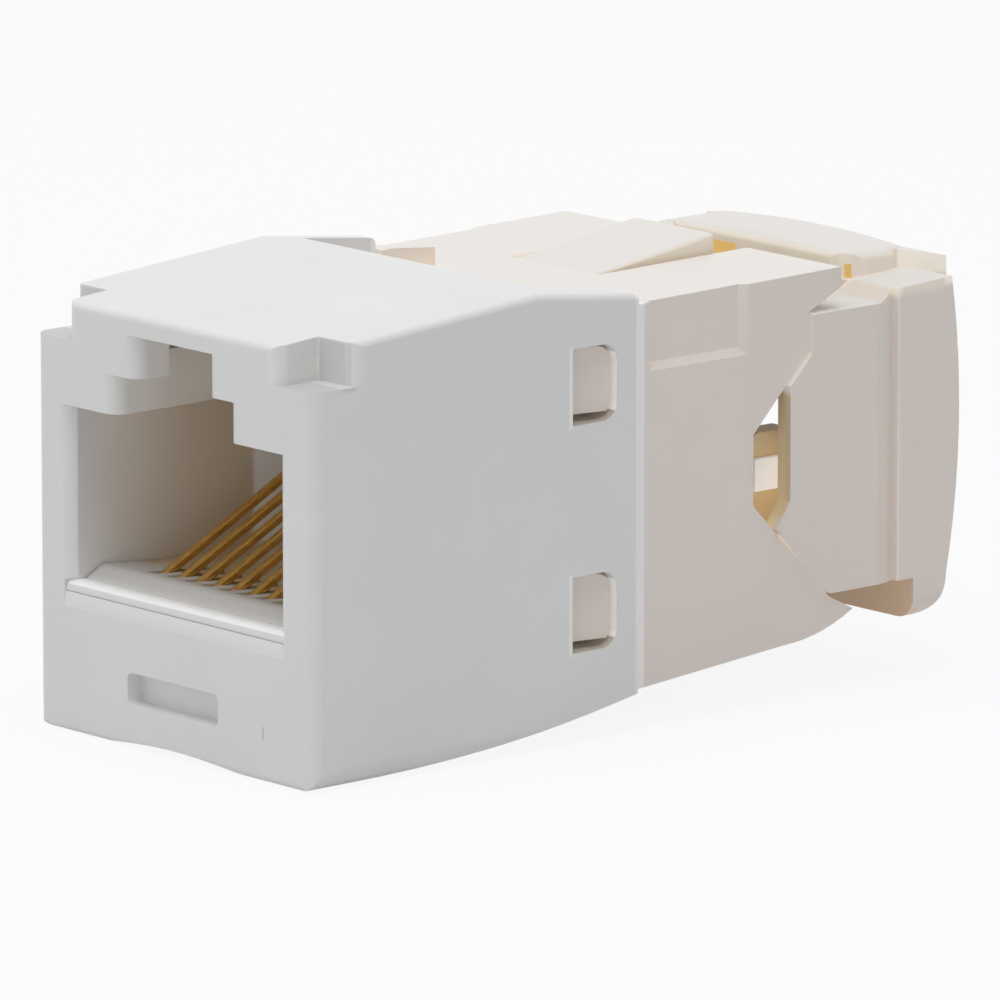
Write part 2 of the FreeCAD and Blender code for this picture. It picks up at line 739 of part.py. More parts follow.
def rear_housing():
    """Ivory base with its rails, snap legs, terminal rows and the deck of the latch."""
    plate = box((-base_in, base_in), (plate_y, plate_back), (base_floor, ceiling_z))
    shell = base_shell().fuse(top_plate()).cut(pocket())
    body = shell.multiFuse([plate, both_sides(snap_skirt()), tower_rows()])
    holes = [tail(x, z, HOLE_GAP, plate_y - PAST, idc_y + SEAT) for x, z in terminal_places()]
    return body.cut(holes).removeSplitter()


def release_latch():
    """Flexible tongue in the top: it rises to its tip and is pressed down to let go of the wall plate."""
    start = latch_y + SEAT
    stop = start + LATCH_LEN
    return prism("x", [
        (start, latch_z),
        (stop, latch_z, LATCH_TIP_R),
        (stop, rail_z + LATCH_RISE, LATCH_TIP_R),
        (start, rail_z),
    ], -LATCH_W / 2, LATCH_W / 2)


def cap_arm():
    """Arm that fills the base's side notch and leaves its deepest part open."""
    front = base_end - ARM_FRONT
    deep = base_end - NOTCH_REACH
    brow = base_end - NOTCH_BROW_Y
    foot = base_end - NOTCH_FOOT_Y
    flat_high = axis_z + NOTCH_FLAT / 2
    flat_low = axis_z - NOTCH_FLAT / 2
    brow_z = axis_z + NOTCH_BROW_Z
    front_z = flat_high + (front - ARM_SLOPE_GAP - deep) * (brow_z - flat_high) / (brow - deep)
    chin = flat_low - ARM_CHIN_Z
    chin_y = on_slope(deep, flat_low, foot, axis_z - NOTCH_FOOT_Z, chin) + ARM_SLOPE_GAP
    heel_y = on_slope(deep, flat_low, foot, axis_z - NOTCH_FOOT_Z, arm_foot) + ARM_SLOPE_GAP
    return prism("x", [
        (brow + CAP_GAP, arm_top),
        (brow + CAP_GAP, brow_z + CAP_GAP - ARM_SLOPE_GAP),
        (front, front_z),
        (front, flat_low),
        (chin_y, chin),
        (heel_y, arm_foot),
        (band_y + SEAT, arm_foot),
        (band_y + SEAT, arm_top),
    ], half_w - ARM_T, half_w)


def arm_band():
    """Hollow band up the side of the cap, where an arm meets the flange."""
    return prism("z", [
        (half_w, band_y),
        ("via", half_w - ARM_GROOVE / 3, (band_y + flange_y) / 2),
        (half_w - ARM_GROOVE, flange_y),
        (half_w + PAST, flange_y),
        (half_w + PAST, band_y),
    ], arm_foot - PAST, arm_top + FLANGE_RISE + PAST)


def cap_back():
    """Flange of the cap, with a bulging rear face and a foot below the arms."""
    low = arm_foot - FLANGE_FOOT
    high = arm_top + FLANGE_RISE
    heel = cap_end - HEEL_IN
    cut_back = FLANGE_R * (1 - math.sqrt(0.5))
    side = prism("x", [
        (band_y, arm_foot),
        (cap_end - FLANGE_FOOT_T, arm_foot),
        (cap_end - FLANGE_FOOT_T, low),
        (heel - FLANGE_R, low),
        ("via", heel - cut_back, low + cut_back),
        (heel, low + FLANGE_R),
        ("via", cap_end + BACK_BOW, (low + FLANGE_R + high) / 2),
        (cap_end, high + FLANGE_CLIMB),
        (flange_y, high),
        (band_y, arm_top),
    ], -half_w, half_w)
    rear = prism("y", [
        (-half_w, low, FLANGE_SIDE_R),
        (half_w, low, FLANGE_SIDE_R),
        (half_w, high + PAST),
        (-half_w, high + PAST),
    ], band_y, cap_end + PAST)
    return side.common(rear)


def thumb_bar():
    """Crowned bar on the cap's top, with round front corners and a flared lip behind it."""
    front = flange_y - BAR_FRONT
    foot = arm_top - DECK_T
    high = arm_top + BAR_RISE
    lip_end = cap_end + LIP_LEN
    plan = prism("z", [
        (-BAR_HALF, front, BAR_R),
        (BAR_HALF, front, BAR_R),
        (BAR_HALF, cap_end),
        ("via", 0, cap_end + BACK_BOW),
        (-BAR_HALF, cap_end),
    ], foot, high + BAR_CROWN + PAST)
    crown = prism("y", [
        (-BAR_HALF, foot),
        (BAR_HALF, foot),
        (BAR_HALF, high, BAR_EDGE_R),
        ("via", 0, high + BAR_CROWN),
        (-BAR_HALF, high, BAR_EDGE_R),
    ], front, lip_end)
    profile = prism("x", [
        (front, foot),
        (lip_end, foot),
        (lip_end, high + BAR_CROWN),
        (front, high + BAR_CROWN, BAR_EDGE_R),
    ], -BAR_HALF, BAR_HALF)
    flare = prism("z", [
        (-BAR_HALF, cap_end - PAST / 2),
        (BAR_HALF, cap_end - PAST / 2),
        (BAR_HALF + LIP_FLARE, lip_end),
        (-BAR_HALF - LIP_FLARE, lip_end),
    ], foot, high)
    lip = prism("x", [
        (cap_end - PAST / 2, high - LIP_T),
        (lip_end, high - LIP_T),
        (lip_end, high - LIP_FALL),
        (cap_end - PAST / 2, high - SEAT),
    ], -half_w, half_w)
    return plan.common(crown).common(profile).fuse(flare.common(lip))


def termination_cap():
    """Ivory cap that is pushed on from behind: arms, decks with wire combs, and a back for the cable."""
    inner = half_w - ARM_T
    deck_half = inner + SEAT
    comb_half = inner - COMB_SIDE_GAP
    stretch = (base_end + CAP_GAP + BASE_TAIL, band_y + SEAT)
    cradle = (base_end - CRADLE_START, band_y + SEAT)
    shoulder_y = (base_end - NOTCH_BROW_Y + CAP_GAP, stretch[1])
    shoulder = box((tower_half + FIT, deck_half), shoulder_y, (arm_top - DECK_T, arm_top))
    pieces = [both_sides(cap_arm()), both_sides(shoulder), thumb_bar()]
    cuts = [both_sides(arm_band())]
    rows = ((1, arm_top, COMB_H, stretch), (-1, arm_foot, CRADLE_H, cradle))
    for side, edge, height, along in rows:
        deck = edge - side * DECK_T
        comb = deck - side * height
        pieces.append(box((-deck_half, deck_half), stretch, sorted((edge, deck))))
        pieces.append(box((-comb_half, comb_half), along, sorted((deck, comb))))
        for x, z in terminal_places():
            if (z - axis_z) * side > 0:
                across = (x - COMB_SLOT_W / 2, x + COMB_SLOT_W / 2)
                cuts.append(box(across, (along[0] - PAST, band_y), sorted((axis_z, deck))))
    slot = (stretch[0] - PAST, flange_y - BAR_FRONT)
    cuts.append(box((-BAR_HALF, BAR_HALF), slot, (arm_top - DECK_T, arm_top + FLANGE_RISE)))
    body = cap_back().multiFuse(pieces).cut(cuts)
    cable = Part.makeCylinder(CABLE_R, CAP_TAIL + 2 * PAST, V(0, band_y - FIT, axis_z), V(0, 1, 0))
    return body.cut(cable).removeSplitter()


def save(name, shape):
    """Writes one piece, with the origin moved to the middle of the port's mouth."""
    shape = shape.copy()
    shape.translate(V(0, 0, -axis_z))
    shape.exportStep("parts/" + name + ".step")


os.makedirs("parts", exist_ok=True)
save("front_housing", front_housing())
save("rear_housing", rear_housing())
save("release_latch", release_latch())
save("contact_carrier", contact_carrier())
save("circuit_board", circuit_board())
save("termination_cap", termination_cap())
for number, place in enumerate(wire_places(), start=1):
    save("contact_spring_%d" % number, contact_spring(place))
    save("contact_leg_%d" % number, contact_leg(place))
for number, place in enumerate(terminal_places(), start=1):
    save("idc_%d" % number, idc(*place))
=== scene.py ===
"""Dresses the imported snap-in jack with moulded plastics and plated metals, and sets it in a pale studio.

Metres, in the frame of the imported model: X runs across the port, -Y is the plug side and +Z is up.
"""
import math

import bpy
from bpy.props import FloatProperty, FloatVectorProperty, PointerProperty
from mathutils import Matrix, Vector


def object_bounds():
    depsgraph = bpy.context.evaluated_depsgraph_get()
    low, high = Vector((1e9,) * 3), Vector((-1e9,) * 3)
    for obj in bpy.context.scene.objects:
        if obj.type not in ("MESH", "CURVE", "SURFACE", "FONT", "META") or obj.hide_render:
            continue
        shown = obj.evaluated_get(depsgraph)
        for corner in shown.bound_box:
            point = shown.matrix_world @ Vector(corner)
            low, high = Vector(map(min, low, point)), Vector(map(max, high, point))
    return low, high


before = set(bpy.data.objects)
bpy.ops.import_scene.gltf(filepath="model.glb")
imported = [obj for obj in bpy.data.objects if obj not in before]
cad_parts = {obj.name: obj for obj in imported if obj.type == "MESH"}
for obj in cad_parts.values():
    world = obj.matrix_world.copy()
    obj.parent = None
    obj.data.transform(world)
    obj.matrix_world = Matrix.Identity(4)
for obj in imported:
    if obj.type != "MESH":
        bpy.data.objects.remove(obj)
cad_low, cad_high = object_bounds()

bl_info = {
    "name": "Snap-in jack dresser",
    "version": (1, 0, 0),
    "blender": (4, 5, 0),
    "location": "3D View > Sidebar > Jack",
    "description": "Gives the packed jack its plastics, metals, soft edges and studio",
    "category": "Object",
}

MM = 0.001
WIRE_NUMBERS = range(1, 9)

# Where the finishes and their painted light and shade change, in millimetres. Two numbers are the start
# and the end of a change.
# Three are the limits of a stretch and the width of its soft edges.

# Front housing
PORT_SIDE = (6.2, 6.7)
PORT_HEIGHT = (-4.1, 6.6, 0.2)
PORT_LEDGE = (3.3, 3.8)
PORT_SHADE = (0.15, 3.0)
PORT_BROWN = (1.5, 8.0)
PORT_BACK = (8.8, 9.1)
ROOF_SIDE = (5.6, 5.9)
ROOF_HEIGHT = (3.3, 6.2, 0.1)
ROOF_START = (0.15, 0.6)
ROOF_END = (1.4, 2.6)
NOTCH_SHADE_HEIGHT = (5.5, 6.1, 0.1)
NICHE_SIDE = (6.06, 6.10)
NICHE_DEPTH = (1.5, 2.05, 0.1)
NICHE_HEIGHT = (5.7, 7.3, 0.1)
SILL_FACE = (0.2, 0.3)
SILL_HEIGHT = (-4.30, -3.80, 0.04)
SILL_SIDE = (6.2, 6.5)
WINDOW_HEIGHTS = ((-5.75, -2.70, 0.04), (2.85, 5.90, 0.04))
WINDOW_FEET = ((-5.75, -5.35, 0.04), (2.85, 3.25, 0.04))
WINDOW_RIM = (12.50, 12.66, 0.04)
WINDOW_FLOOR = (12.5, 14.78, 0.04)
WINDOW_WALL = (14.80, 14.95, 0.04)
WINDOW_DEPTH = (6.9, 7.94, 0.04)
WINDOW_FACE = (7.9, 7.98)
REAR_RIM = (15.72, 15.90)
LEFT_EDGE = (-7.90, -7.75)
LEFT_FACE = (0.30, 0.40)
GATE_ACROSS = (5.15, 5.21, 0.03)
GATE_HEIGHT = (-7.50, -7.05, 0.06)
GATE_FACE = (0.10, 0.15)

# Base, tongue and cap
OUTER_FACE = (7.4, 7.6)
CROWN_START = (28.3, 28.6)
BASE_RIM = (15.9, 16.36, 0.06)
SHOULDER_SIDE = (5.4, 5.5)
SHOULDER_START = (25.0, 25.5)
SHOULDER_TOP = (6.6, 6.8)
SHOULDER_RAMP = (28.55, 28.9, 0.4)
BAND_LENGTH = (28.15, 29.05, 0.1)
BAND_HEIGHT = (-5.2, 5.4, 0.2)
GROOVE = (29.02, 29.22, 0.03)
SIDE_GAP_MIDDLE = (6.6, 23.2, -1.0)
SIDE_GAP_REACH = 3.2
SIDE_GAP_FACE = (7.6, 7.8)
SLOT_LENGTH = (24.6, 29.15, 0.3)
SLOT_HEIGHT = (2.0, 5.9, 0.5)
SLOT_SIDE = (5.5, 6.0)
KNOB_SIDE = (6.3, 6.6, 0.05)
KNOB_HEIGHT = (-1.25, 0.1, 0.03)
KNOB_LENGTH = (22.5, 25.5, 0.1)
ARM_FACE_LENGTH = (23.3, 23.8, 0.1)
ARM_FACE_HEIGHT = (-2.4, 2.6, 0.2)
ARM_FACE_DEPTH = (7.1, 7.93, 0.04)
ROOT_LENGTH = (28.9, 29.4, 0.05)
ROOT_HEIGHT = (6.1, 6.54, 0.06)
ROOT_LEFT = (-2.5, -1.15, 0.25)
ROOT_RIGHT = (4.9, 5.2, 0.1)
ROOT_LIT_SIDE = (-1.2, 0.0)
FOOT_LENGTH = (29.6, 30.3, 0.2)
FOOT_HEIGHT = (-5.3, -5.1)
FOOT_SIDE = (7.80, 7.90)
CORNER_MIDDLE = (-6.3, 17.3, 6.9)
CORNER_REACH = 2.2
SLIT_ACROSS = (-2.60, -2.20, 0.03)
SLIT_LENGTH = (18.6, 22.0, 0.2)
SEAM_LENGTH = (23.3, 27.0, 0.2)
SEAM_BELOW = (-2.6, -2.3)
SEAM_ABOVE = (2.6, 2.9)
REAR_LENGTH = (28.9, 31.4, 0.1)
REAR_HEIGHT = (5.6, 6.0)
REAR_FRONT = (29.3, 29.5)
LIP_LENGTH = (31.4, 31.6)
LIP_HEIGHT = (5.8, 6.1)

# Carrier
NOSE_END = (0.50, 1.1)
NOSE_RIM_FACE = (0.60, 0.72)
NOSE_RIM_HEIGHT = (-3.48, -3.25, 0.04)
REFLECTED_GOLD_START = (3.0, 3.8)

# Shelter, from 0 deep in a gap to 1 in the open, over which the painted shade, amber and glow change
SHELTER_REACH = 2.2
SHELTER_SAMPLES = 2
SIDE_GAP_SHELTER = (0.2, 0.95)
SLOT_SHELTER = (0.15, 0.65)
KNOB_SHELTER = (0.55, 0.95)

# Gains on a tone: above 1 is paler, below 1 is darker. DRIFT_GAINS is the colour's random drift and
# GATE_GAIN darkens a thin line on the front face; the rest are painted highlights, painted sheen and
# painted shade.
NOTCH_SHADE_GAIN = 0.70
NICHE_GAIN = 0.86
SILL_GAIN = 1.06
EDGE_GAIN = 1.14
REAR_RIM_GAIN = 1.18
WINDOW_FOOT_GAIN = 0.62
GATE_GAIN = 0.74
THICK_TOP_GAIN = 1.0
THIN_TOP_GAIN = 0.97
CROWN_GAIN = 0.955
SHOULDER_GAIN = 0.91
RAMP_GAIN = 0.94
NOSE_RIM_GAIN = 1.2
DRIFT_GAINS = (0.985, 1.012)

# Painted tones of single spots: a highlight on the base rim, shade on the band, the arms' faces and the
# cap's foot, amber shade at the tongue's root, and the wires' reflection on the carrier floor
BASE_RIM_TONE = (0.95, 0.93, 0.93)
BAND_TONE = (0.805, 0.728, 0.670)
ARM_FACE_TONE = (0.80, 0.64, 0.42)
ROOT_TONE = (0.77, 0.46, 0.09)
FOOT_TONE = (0.79, 0.57, 0.43)
REFLECTED_GOLD_TONE = (0.66, 0.52, 0.33)

# Painted glow, an emission that stands in for light soaking through: colours, then shares of a tone
BACK_LIGHT = (0.055, 0.060, 0.065)
ROOF_LIGHT = (0.038, 0.035, 0.030)
GROOVE_LIGHT = (0.050, 0.055, 0.060)
KNOB_LIGHT = (0.42, 0.42, 0.43)
ROOT_LIGHT = (0.13, 0.07, 0.01)
CORNER_LIGHT = (0.17, 0.16, 0.13)
SLIT_LIGHT = (0.20, 0.20, 0.19)
SEAM_LIGHT = (0.150, 0.160, 0.168)
LIP_LIGHT = (0.22, 0.22, 0.18)
ROOF_REST = 0.15
WINDOW_WALL_GLOW = 0.25
WINDOW_FOOT_GLOW = 0.05
FOOT_GLOW = 0.10
REAR_SOAK = 0.7
REAR_FRONT_SOAK = 0.5
NOSE_RIM_GLOW = 0.08

# Surface: sizes and depths in millimetres, roughness from smooth to rough
NOISE_RANGE = (0.3, 0.7)
UPWARD_RANGE = (0.45, 0.95)
NEAR_CORE = 0.6
DRIFT_SIZE, DRIFT_DETAIL = 5.0, 3.0
GRAIN_SIZE, GRAIN_DEPTH, GRAIN_GRIP = 0.07, 0.006, 0.30
GRAIN_RANGE = (0.25, 0.75)
SINK_SIZE, SINK_DEPTH, SINK_GRIP = 1.6, 0.012, 0.35
PLASTIC_IOR = 1.5
HOUSING_ROUGHNESS = (0.40, 0.52)
CARRIER_ROUGHNESS = (0.27, 0.31)
CARRIER_GRIP = 0.02
METAL_GRIP = 0.4
GOLD_LOOK = {
    "streak": 0.05,
    "stretch": (1.0, 30.0, 6.0),
    "depth": 0.004,
    "gains": (0.85, 1.12),
    "patch": 0.9,
    "roughness": (0.20, 0.32),
}
TIN_LOOK = {
    "streak": 0.06,
    "stretch": (1.0, 40.0, 1.0),
    "depth": 0.005,
    "gains": (0.88, 1.08),
    "patch": 0.7,
    "roughness": (0.30, 0.46),
}
WEAVE_SIZE, WEAVE_DEPTH, WEAVE_GRIP = 0.4, 0.004, 0.25
MASK_CLOUD = 1.2
MASK_GAINS = (0.85, 1.2)
MASK_ROUGHNESS = (0.26, 0.36)

# Soft edges
WELD_REACH = 0.002
FLAT_WITHIN = math.radians(0.6)
SHARPER_THAN = math.radians(28.0)
EDGE_SEGMENTS = 3
SHEET_SEGMENTS = 2
SHADING_WEIGHT = 80

# Studio, in metres; lamps are placed from the middle of the jack
OVERHEAD_PLACE, OVERHEAD_SIZE = (0.03, -0.075, 0.54), 0.5
FRONT_PLACE, FRONT_SIZE = (-0.10, -0.55, 0.20), 0.4
FLOOR_HALF = 3.0
SENSOR_WIDTH = 36.0

# Sockets of the colour mixer, which share their names with its other kinds
MIX_FACTOR, MIX_FIRST, MIX_SECOND, MIX_RESULT = 0, 6, 7, 2


class JackFinish(bpy.types.PropertyGroup):
    """Colours, painted light and shade, and edges of the jack's pieces."""

    white_tone: FloatVectorProperty(
        name="White plastic",
        description="Colour of the front housing",
        default=(0.80, 0.80, 0.80),
        subtype="COLOR",
        min=0.0,
        max=1.0,
    )
    # Painted shade: the port's walls are drawn darker and warmer than the plastic, for the shade inside
    # the port.
    port_shade: FloatVectorProperty(
        name="Sheltered white",
        description="Colour of the front housing inside the port",
        default=(0.87, 0.84, 0.80),
        subtype="COLOR",
        min=0.0,
        max=1.0,
    )
    # Painted shade, deeper: the back of the port is drawn darker and browner still.
    port_deep_shade: FloatVectorProperty(
        name="Deep white",
        description="Colour of the front housing at the back of the port",
        default=(0.84, 0.755, 0.645),
        subtype="COLOR",
        min=0.0,
        max=1.0,
    )
    ivory_tone: FloatVectorProperty(
        name="Ivory plastic",
        description="Colour of the base, its tongue and the cap",
        default=(0.835, 0.765, 0.712),
        subtype="COLOR",
        min=0.0,
        max=1.0,
    )
    # Painted sheen: the ivory's upper faces and the lit knob are drawn lighter and cooler than its flanks,
    # for the light from above.
    ivory_top_sheen: FloatVectorProperty(
        name="Bleached ivory",
        description="Colour of the ivory plastic's upper faces and edges",
        default=(0.835, 0.805, 0.770),
        subtype="COLOR",
        min=0.0,
        max=1.0,
    )
    # Painted shade: the ivory's corners are drawn darker and warmer.
    ivory_shade: FloatVectorProperty(
        name="Sheltered ivory",
        description="Colour of the ivory plastic in its corners",
        default=(0.81, 0.71, 0.62),
        subtype="COLOR",
        min=0.0,
        max=1.0,
    )
    # The carrier's colour, drawn darker than its nose as painted shade inside the port.
    carrier_tone: FloatVectorProperty(
        name="Carrier plastic",
        description="Colour of the insert that carries the wires",
        default=(0.61, 0.60, 0.59),
        subtype="COLOR",
        min=0.0,
        max=1.0,
    )
    # Painted amber shade: the ivory's gaps and shaded spots are drawn amber, for shade tinted by light
    # through the plastic.
    painted_amber: FloatVectorProperty(
        name="Amber depth",
        description="Colour that the ivory plastic turns to in its gaps",
        default=(0.86, 0.675, 0.385),
        subtype="COLOR",
        min=0.0,
        max=1.0,
    )
    # Painted glow: an emission in the ivory's gaps, for light soaking through the plastic.
    amber_glow: FloatProperty(
        name="Amber glow",
        description="Light that soaks through the ivory plastic into its gaps",
        default=0.20,
        min=0.0,
    )
    # Painted glow on the flanks of thin ivory parts and the cap's rear: an emission standing in for light
    # soaking through; its colour, then its amount.
    soak_glow_tone: FloatVectorProperty(
        name="Soaked light",
        description="Colour of the light that soaks through thin ivory parts",
        default=(1.0, 0.90, 0.55),
        subtype="COLOR",
        min=0.0,
        max=1.0,
    )
    soak_glow: FloatProperty(
        name="Soak",
        description="Amount of light that soaks through thin ivory parts",
        default=0.12,
        min=0.0,
    )
    gold_tone: FloatVectorProperty(
        name="Gold plating",
        description="Colour of the contact wires",
        default=(0.83, 0.525, 0.155),
        subtype="COLOR",
        min=0.0,
        max=1.0,
    )
    mask_tone: FloatVectorProperty(
        name="Solder mask",
        description="Colour of the circuit board",
        default=(0.045, 0.19, 0.085),
        subtype="COLOR",
        min=0.0,
        max=1.0,
    )
    tin_tone: FloatVectorProperty(
        name="Tin plating",
        description="Colour of the forked terminals",
        default=(0.66, 0.66, 0.65),
        subtype="COLOR",
        min=0.0,
        max=1.0,
    )
    housing_edge: FloatProperty(
        name="Housing edges",
        description="Rounding of the front housing's edges",
        default=0.16 * MM,
        unit="LENGTH",
    )
    ivory_edge: FloatProperty(
        name="Ivory edges",
        description="Rounding of the edges of the base, the tongue and the cap",
        default=0.16 * MM,
        unit="LENGTH",
    )
    carrier_edge: FloatProperty(
        name="Carrier edges",
        description="Rounding of the carrier's edges",
        default=0.05 * MM,
        unit="LENGTH",
    )
    wire_edge: FloatProperty(
        name="Wire edges",
        description="Rounding of the drawn wires' edges",
        default=0.14 * MM,
        unit="LENGTH",
    )
    sheet_edge: FloatProperty(
        name="Sheet edges",
        description="Rounding of the board's and the terminals' edges",
        default=0.04 * MM,
        unit="LENGTH",
    )


class JackStudio(bpy.types.PropertyGroup):
    """Camera, lamps and floor."""

    azimuth: FloatProperty(
        name="Azimuth",
        description="Camera's turn round the jack, from the plug side",
        default=math.radians(48.70),
        subtype="ANGLE",
    )
    elevation: FloatProperty(
        name="Elevation",
        description="Camera's angle above the floor",
        default=math.radians(11.72),
        subtype="ANGLE",
    )
    distance: FloatProperty(
        name="Distance",
        description="From the camera to the middle of the jack",
        default=0.450,
        unit="LENGTH",
    )
    focal: FloatProperty(
        name="Focal length",
        description="Focal length in millimetres, on a sensor 36 mm wide",
        default=430.3,
    )
    aim: FloatVectorProperty(
        name="Aim",
        description="Middle of the jack",
        default=(0.0, 0.0155, -0.000125),
        subtype="TRANSLATION",
    )
    slide_right: FloatProperty(
        name="Slide right",
        description="Shift of the camera to its right, with its aim",
        default=0.451 * MM,
        unit="LENGTH",
    )
    slide_up: FloatProperty(
        name="Slide up",
        description="Shift of the camera upwards, with its aim",
        default=-1.311 * MM,
        unit="LENGTH",
    )
    sky: FloatProperty(
        name="Sky",
        description="Even light from all round",
        default=0.425,
        min=0.0,
    )
    overhead: FloatProperty(
        name="Overhead lamp",
        description="Power of the large lamp above the jack",
        default=1.84,
        min=0.0,
        subtype="POWER",
    )
    front_fill: FloatProperty(
        name="Front lamp",
        description="Power of the lamp on the plug side",
        default=0.25,
        min=0.0,
        subtype="POWER",
    )
    floor_tone: FloatVectorProperty(
        name="Floor",
        description="Colour of the floor",
        default=(0.74, 0.74, 0.74),
        subtype="COLOR",
        min=0.0,
        max=1.0,
    )
    floor_glow: FloatProperty(
        name="Floor glow",
        description="Share of plain white in the floor as the camera sees it",
        default=0.90,
        subtype="FACTOR",
        min=0.0,
        max=1.0,
    )


class Finish:
    """A material with one surface shader, and short calls to add and join nodes, in millimetres."""

    def __init__(self, name):
        self.material = bpy.data.materials.new(name)
        self.material.use_nodes = True
        self.tree = self.material.node_tree
        self.tree.nodes.clear()
        self.output = self.tree.nodes.new("ShaderNodeOutputMaterial")
        self.shader = self.tree.nodes.new("ShaderNodeBsdfPrincipled")
        self.join(self.shader.outputs["BSDF"], self.output.inputs["Surface"])
        self.place = self.tree.nodes.new("ShaderNodeTexCoord").outputs["Object"]
        parts = self.tree.nodes.new("ShaderNodeSeparateXYZ")
        self.join(self.place, parts.inputs[0])
        self.x, self.y, self.z = parts.outputs
        self.lit = None

    def join(self, source, target):
        self.tree.links.new(source, target)

    def into(self, name, source):
        self.join(source, self.shader.inputs[name])

    def set(self, **values):
        for name, value in values.items():
            self.shader.inputs[name.replace("_", " ")].default_value = value

    def noise(self, size, detail=2.0, stretch=(1.0, 1.0, 1.0)):
        """Cloudy noise with blobs of about the given size."""
        spread = self.tree.nodes.new("ShaderNodeMapping")
        spread.inputs["Scale"].default_value = [1.0 / (size * MM * s) for s in stretch]
        self.join(self.place, spread.inputs["Vector"])
        cloud = self.tree.nodes.new("ShaderNodeTexNoise")
        cloud.inputs["Scale"].default_value = 1.0
        cloud.inputs["Detail"].default_value = detail
        self.join(spread.outputs["Vector"], cloud.inputs["Vector"])
        return cloud.outputs["Fac"]

    def shelter(self, reach):
        """1 in the open and 0 deep in a gap."""
        probe = self.tree.nodes.new("ShaderNodeAmbientOcclusion")
        probe.samples = SHELTER_SAMPLES
        probe.inputs["Distance"].default_value = reach * MM
        return probe.outputs["AO"]

    def upward(self):
        """1 on faces that look up and 0 on upright ones."""
        parts = self.tree.nodes.new("ShaderNodeSeparateXYZ")
        self.join(self.tree.nodes.new("ShaderNodeNewGeometry").outputs["Normal"], parts.inputs[0])
        return self.remap(parts.outputs["Z"], *UPWARD_RANGE, 0.0, 1.0)

    def off_middle(self):
        """Distance from the middle plane, to either side."""
        node = self.tree.nodes.new("ShaderNodeMath")
        node.operation = "ABSOLUTE"
        self.join(self.x, node.inputs[0])
        return node.outputs[0]

    def maths(self, operation, *values):
        """Joins values, in turn, by one kind of sum."""
        total = values[0]
        for value in values[1:]:
            node = self.tree.nodes.new("ShaderNodeMath")
            node.operation = operation
            self.join(total, node.inputs[0])
            self.join(value, node.inputs[1])
            total = node.outputs[0]
        return total

    def both(self, *shares):
        return self.maths("MULTIPLY", *shares)

    def either(self, *shares):
        return self.maths("MAXIMUM", *shares)

    def remap(self, value, low, high, to_low, to_high, smooth=True):
        """Carries a range of a value over to another range, with soft ends."""
        change = self.tree.nodes.new("ShaderNodeMapRange")
        change.interpolation_type = "SMOOTHSTEP" if smooth else "LINEAR"
        limits = {"From Min": low, "From Max": high, "To Min": to_low, "To Max": to_high}
        for name, limit in limits.items():
            change.inputs[name].default_value = limit
        self.join(value, change.inputs["Value"])
        return change.outputs["Result"]

    def rest(self, share, smooth=True):
        """What a share leaves of the whole."""
        return self.remap(share, 0.0, 1.0, 1.0, 0.0, smooth)

    def after(self, place, change):
        """0 before a change and 1 after it."""
        start, end = change
        return self.remap(place, start * MM, end * MM, 0.0, 1.0)

    def before(self, place, change, share=0.0):
        """1 before a change and the given share after it."""
        start, end = change
        return self.remap(place, start * MM, end * MM, 1.0, share)

    def within(self, place, stretch):
        """1 along a stretch and 0 outside it."""
        low, high, fade = (limit * MM for limit in stretch)
        start = self.remap(place, low - fade, low, 0.0, 1.0)
        end = self.remap(place, high, high + fade, 1.0, 0.0)
        return self.both(start, end)

    def within_any(self, place, stretches):
        """1 along each of some stretches and 0 outside them."""
        return self.either(*[self.within(place, stretch) for stretch in stretches])

    def near(self, centre, reach):
        """1 around a point and 0 beyond the reach."""
        node = self.tree.nodes.new("ShaderNodeVectorMath")
        node.operation = "DISTANCE"
        node.inputs[1].default_value = [c * MM for c in centre]
        self.join(self.place, node.inputs[0])
        far = reach * MM
        return self.remap(node.outputs["Value"], NEAR_CORE * far, far, 1.0, 0.0)

    def blend(self, factor, first, second):
        """Mixes two colours, each a socket or an RGB triple."""
        mixer = self.tree.nodes.new("ShaderNodeMix")
        mixer.data_type = "RGBA"
        self.join(factor, mixer.inputs[MIX_FACTOR])
        for colour, target in ((first, mixer.inputs[MIX_FIRST]), (second, mixer.inputs[MIX_SECOND])):
            if hasattr(colour, "is_linked"):
                self.join(colour, target)
            else:
                target.default_value = (*colour, 1.0)
        return mixer.outputs[MIX_RESULT]

    def light(self, share, colour):
        """Adds painted glow, an emission standing in for light that soaks through the piece, where the
        share is high.
        """
        beam = self.tree.nodes.new("ShaderNodeVectorMath")
        beam.operation = "SCALE"
        beam.inputs[0].default_value = colour
        self.join(share, beam.inputs["Scale"])
        if self.lit is None:
            self.lit = beam.outputs[0]
        else:
            node = self.tree.nodes.new("ShaderNodeVectorMath")
            node.operation = "ADD"
            self.join(self.lit, node.inputs[0])
            self.join(beam.outputs[0], node.inputs[1])
            self.lit = node.outputs[0]
        self.into("Emission Color", self.lit)
        self.set(Emission_Strength=1.0)

    def bump(self, height, depth, strength, under=None):
        """Raises the surface by a height map of the given depth."""
        relief = self.tree.nodes.new("ShaderNodeBump")
        relief.inputs["Strength"].default_value = strength
        relief.inputs["Distance"].default_value = depth * MM
        self.join(height, relief.inputs["Height"])
        if under is not None:
            self.join(under, relief.inputs["Normal"])
        return relief.outputs["Normal"]

    def spread(self, noise, low=0.0, high=1.0):
        """Carries the usual range of noise over to another range."""
        return self.remap(noise, *NOISE_RANGE, low, high)

    def between(self, share, tone, gains):
        """A tone that runs from one gain to another with a share."""
        low, high = gains
        return self.blend(share, tinted(tone, low), tinted(tone, high))

